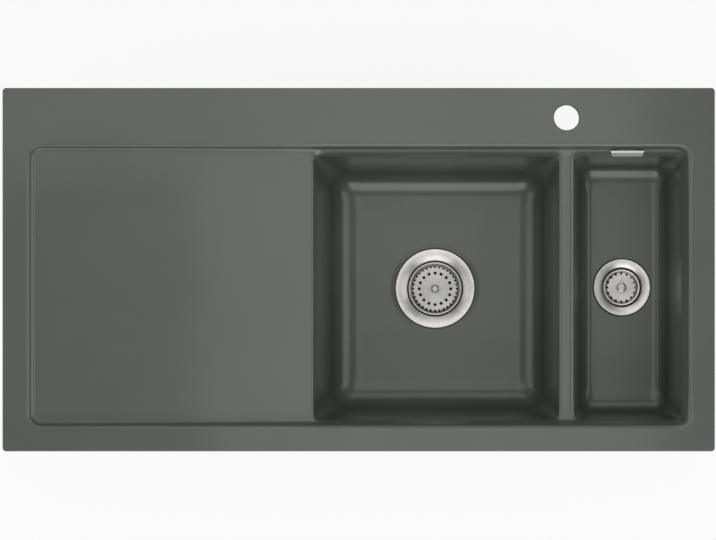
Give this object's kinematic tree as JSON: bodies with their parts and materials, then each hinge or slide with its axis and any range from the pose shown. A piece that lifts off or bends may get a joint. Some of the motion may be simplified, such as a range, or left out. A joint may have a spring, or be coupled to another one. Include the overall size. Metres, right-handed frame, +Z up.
{
  "type": "flush-mount kitchen sink",
  "caption": "Grey glazed ceramic kitchen sink with a draining board, a main bowl, a small bowl, basket strainer wastes and an overflow, let in flush with a worktop.",
  "frame": {"origin": "middle of the deck's top face, level with the worktop's top", "axes": "+X along the length towards the small bowl, +Y to the tap side, +Z up"},
  "size_m": [0.98, 0.5, 0.2721],
  "materials": {
    "glaze": "satin",
    "waste_steel": "satin",
    "basket_steel": "satin",
    "cover_steel": "satin",
    "screw_steel": "satin",
    "waste_plastic": "satin",
    "overflow_plastic": "satin",
    "pipe_plastic": "satin",
    "nut_plastic": "satin",
    "seal_rubber": "matte"
  },
  "bodies": {
    "sink": {"sink_body": "glaze", "main_flange_cup": "waste_steel", "main_flange_seal": "seal_rubber", "main_floor_gasket": "seal_rubber", "main_waste_body": "waste_plastic", "main_clamp_screw": "screw_steel", "small_flange_cup": "waste_steel", "small_flange_seal": "seal_rubber", "small_floor_gasket": "seal_rubber", "small_waste_body": "waste_plastic", "small_clamp_screw": "screw_steel", "overflow_insert": "overflow_plastic", "overflow_screw_left": "screw_steel", "overflow_screw_right": "screw_steel", "overflow_gasket": "seal_rubber", "overflow_head": "overflow_plastic", "overflow_pipe": "pipe_plastic", "upper_pipe_seal": "seal_rubber", "upper_pipe_nut": "nut_plastic", "lower_pipe_seal": "seal_rubber", "lower_pipe_nut": "nut_plastic"},
    "main_plug": {"main_basket_stem": "basket_steel", "main_stopper_seal": "seal_rubber"},
    "main_basket": {"main_strainer_basket": "basket_steel", "main_basket_knob": "basket_steel"},
    "small_plug": {"small_basket_stem": "basket_steel", "small_stopper_seal": "seal_rubber"},
    "small_basket": {"small_strainer_basket": "basket_steel", "small_basket_knob": "basket_steel"},
    "overflow_plate": {"overflow_cover": "cover_steel"}
  },
  "joints": [
    {"name": "main_basket_lift", "type": "slide", "parent": "sink", "child": "main_plug", "axis": [0, 0, 1], "range_m": [0, 0.25]},
    {"name": "main_basket_turn", "type": "hinge", "parent": "main_plug", "child": "main_basket", "pos_m": [0.10619, -0.0195, -0.206], "axis": [0, 0, 1], "continuous": true},
    {"name": "small_basket_lift", "type": "slide", "parent": "sink", "child": "small_plug", "axis": [0, 0, 1], "range_m": [0, 0.2]},
    {"name": "small_basket_turn", "type": "hinge", "parent": "small_plug", "child": "small_basket", "pos_m": [0.37718, -0.0195, -0.152], "axis": [0, 0, 1], "continuous": true},
    {"name": "overflow_cover_pull", "type": "slide", "parent": "sink", "child": "overflow_plate", "axis": [0, -0.8192, 0.5736], "range_m": [0, 0.03]}
  ]
}
